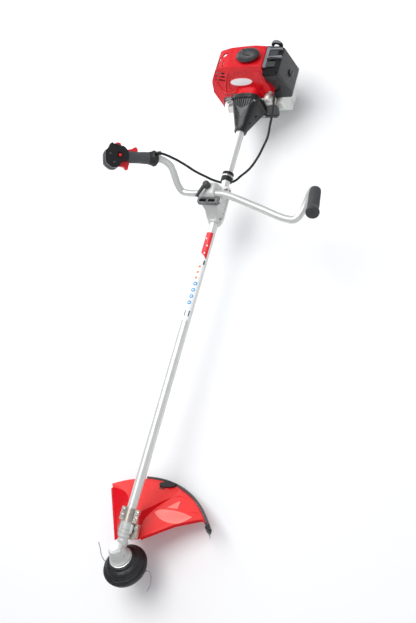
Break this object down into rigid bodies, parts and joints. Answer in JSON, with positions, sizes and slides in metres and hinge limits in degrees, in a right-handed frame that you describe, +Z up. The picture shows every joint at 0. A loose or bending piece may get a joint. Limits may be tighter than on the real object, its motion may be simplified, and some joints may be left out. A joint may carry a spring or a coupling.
{
  "type": "string trimmer",
  "caption": "Petrol string trimmer with a straight shaft, bull-horn handlebar, throttle handle, rear engine with tank, guard and bump-feed line head.",
  "frame": {"origin": "bottom centre of the bounding box without the trimmer lines, on the floor that the fuel tank and the guard rest on", "axes": "+Y along the shaft tube from the cutting head to the engine, +X towards the left-hand grip, +Z up"},
  "size_m": [0.7072, 1.7738, 0.4709],
  "materials": {
    "cast_aluminium": "cast, satin",
    "bright_steel": "machined",
    "dark_steel": "blackened",
    "silver_tube": "silver paint, satin",
    "red_plastic": "glossy",
    "red_guard": "satin",
    "black_plastic": "fine grain",
    "grey_plastic": "fine grain",
    "grey_rubber": "soft grip",
    "black_rubber": "matte",
    "tank": "translucent white",
    "nylon_line": "smooth"
  },
  "bodies": {
    "frame": {"gear_case": "cast_aluminium", "output_bearing": "bright_steel", "guard": "red_guard", "guard_skirt": "grey_plastic", "line_cutter": "bright_steel", "shaft_tube": "silver_tube", "pinion_bearing": "bright_steel", "shaft_bush": "black_rubber", "guard_clamp_upper": "bright_steel", "guard_clamp_lower": "bright_steel", "bracket_base": "cast_aluminium", "bracket_tower": "cast_aluminium", "bracket_bolt_left": "dark_steel", "bracket_bolt_right": "dark_steel", "throttle_conduit": "black_rubber", "shaft_band": "black_rubber", "harness_ring": "bright_steel", "shaft_band_rear": "black_rubber", "clutch_housing": "black_plastic", "crankcase": "cast_aluminium", "muffler": "dark_steel", "carburettor": "cast_aluminium", "engine_cover": "red_plastic", "spark_plug_cap": "black_rubber", "air_filter_cover": "grey_plastic", "fuel_tank": "tank", "recoil_cover": "black_plastic"},
    "drive_line": {"drive_shaft": "bright_steel", "pinion_gear": "dark_steel", "clutch_drum": "bright_steel"},
    "cutting_head": {"bevel_gear": "dark_steel", "output_shaft": "bright_steel", "head_flange": "cast_aluminium", "head_housing": "black_plastic", "head_base": "black_plastic", "head_spring": "bright_steel", "trimmer_line_left": "nylon_line", "trimmer_line_right": "nylon_line"},
    "line_spool": {"line_spool": "grey_plastic"},
    "bump_knob": {"bump_knob": "black_plastic"},
    "crank": {"crankshaft": "bright_steel", "clutch_rotor": "dark_steel"},
    "handlebar": {"handlebar": "silver_tube", "left_grip": "grey_rubber", "left_grip_cap": "grey_plastic", "control_collar": "black_rubber", "control_handle": "grey_plastic", "bar_clamp_seat": "dark_steel", "bar_clamp_cap": "cast_aluminium"},
    "clamp_lever": {"clamp_lever": "black_plastic"},
    "throttle_trigger": {"throttle_trigger": "red_plastic"},
    "lockout_lever": {"lockout_lever": "red_plastic"},
    "throttle_lock_button": {"throttle_lock_button": "red_plastic"},
    "stop_switch": {"stop_switch": "red_plastic"},
    "throttle_cam": {"throttle_cam": "bright_steel"},
    "choke_lever": {"choke_lever": "black_plastic"},
    "primer_bulb": {"primer_bulb": "tank"},
    "starter_grip": {"starter_grip": "black_rubber"},
    "starter_pulley": {"starter_pulley": "grey_plastic"},
    "fuel_cap": {"fuel_cap": "black_plastic"}
  },
  "joints": [
    {"name": "drive_spin", "type": "hinge", "parent": "frame", "child": "drive_line", "pos_m": [-0.07775, -0.09908, 0.155], "axis": [0, 1, 0], "continuous": true},
    {"name": "head_spin", "type": "hinge", "parent": "frame", "child": "cutting_head", "pos_m": [-0.07775, -0.79908, 0.155], "axis": [0, 0.5, 0.866], "continuous": true},
    {"name": "spool_turn", "type": "hinge", "parent": "cutting_head", "child": "line_spool", "pos_m": [-0.07775, -0.82708, 0.1065], "axis": [0, 0.5, 0.866], "continuous": true},
    {"name": "knob_bump", "type": "slide", "parent": "cutting_head", "child": "bump_knob", "axis": [0, 0.5, 0.866], "range_m": [0, 0.005], "stiffness_N_per_m": 900, "springref_m": -0.004, "deforming": ["head_spring"]},
    {"name": "crank_spin", "type": "hinge", "parent": "frame", "child": "crank", "pos_m": [-0.07775, 0.75092, 0.155], "axis": [0, 1, 0], "continuous": true},
    {"name": "handlebar_swivel", "type": "hinge", "parent": "frame", "child": "handlebar", "pos_m": [-0.07775, 0.31692, 0.233], "axis": [0, 0, 1], "range_deg": [-80, 0], "deforming": ["throttle_conduit"]},
    {"name": "clamp_lever_turn", "type": "hinge", "parent": "handlebar", "child": "clamp_lever", "pos_m": [-0.07775, 0.31692, 0.255], "axis": [0, 0, 1], "range_deg": [0, 110]},
    {"name": "trigger_pull", "type": "hinge", "parent": "handlebar", "child": "throttle_trigger", "pos_m": [-0.30455, 0.30257, 0.41481], "axis": [0.767, -0.1481, 0.6243], "range_deg": [0, 15], "stiffness_Nm_per_rad": 0.6, "springref_deg": -11.46},
    {"name": "lockout_press", "type": "hinge", "parent": "handlebar", "child": "lockout_lever", "pos_m": [-0.29671, 0.34071, 0.41423], "axis": [-0.767, 0.1481, -0.6243], "range_deg": [0, 10], "stiffness_Nm_per_rad": 0.4, "springref_deg": -11.46},
    {"name": "lock_button_press", "type": "slide", "parent": "handlebar", "child": "throttle_lock_button", "axis": [0.1215, -0.9219, -0.3679], "range_m": [0, 0.0025], "stiffness_N_per_m": 400, "springref_m": -0.003},
    {"name": "stop_switch_slide", "type": "slide", "parent": "handlebar", "child": "stop_switch", "axis": [-0.6301, -0.358, 0.6891], "range_m": [0, 0.0045]},
    {"name": "throttle_cam_turn", "type": "hinge", "parent": "frame", "child": "throttle_cam", "pos_m": [-0.02175, 0.75892, 0.199], "axis": [0, 1, 0], "range_deg": [-41, 0]},
    {"name": "choke_turn", "type": "hinge", "parent": "frame", "child": "choke_lever", "pos_m": [0.02225, 0.77292, 0.261], "axis": [0, 0, 1], "range_deg": [0, 60]},
    {"name": "primer_press", "type": "slide", "parent": "frame", "child": "primer_bulb", "axis": [0, -1, 0], "range_m": [0, 0.004], "stiffness_N_per_m": 500, "springref_m": -0.002},
    {"name": "starter_pull", "type": "slide", "parent": "frame", "child": "starter_grip", "axis": [0, 0, 1], "range_m": [0, 0.5], "stiffness_N_per_m": 6, "springref_m": -0.5},
    {"name": "pulley_spin", "type": "hinge", "parent": "frame", "child": "starter_pulley", "pos_m": [-0.07775, 0.86992, 0.155], "axis": [0, 1, 0], "range_deg": [0, 960]},
    {"name": "fuel_cap_turn", "type": "hinge", "parent": "frame", "child": "fuel_cap", "pos_m": [-0.21575, 0.79092, 0.045], "axis": [1, 0, 0], "continuous": true}
  ],
  "couplings": [
    {"joint": "head_spin", "follows": "drive_spin", "ratio": -0.75},
    {"joint": "throttle_cam_turn", "follows": "trigger_pull", "ratio": -2.7},
    {"joint": "pulley_spin", "follows": "starter_pull", "rad_per_m": 33.333}
  ]
}
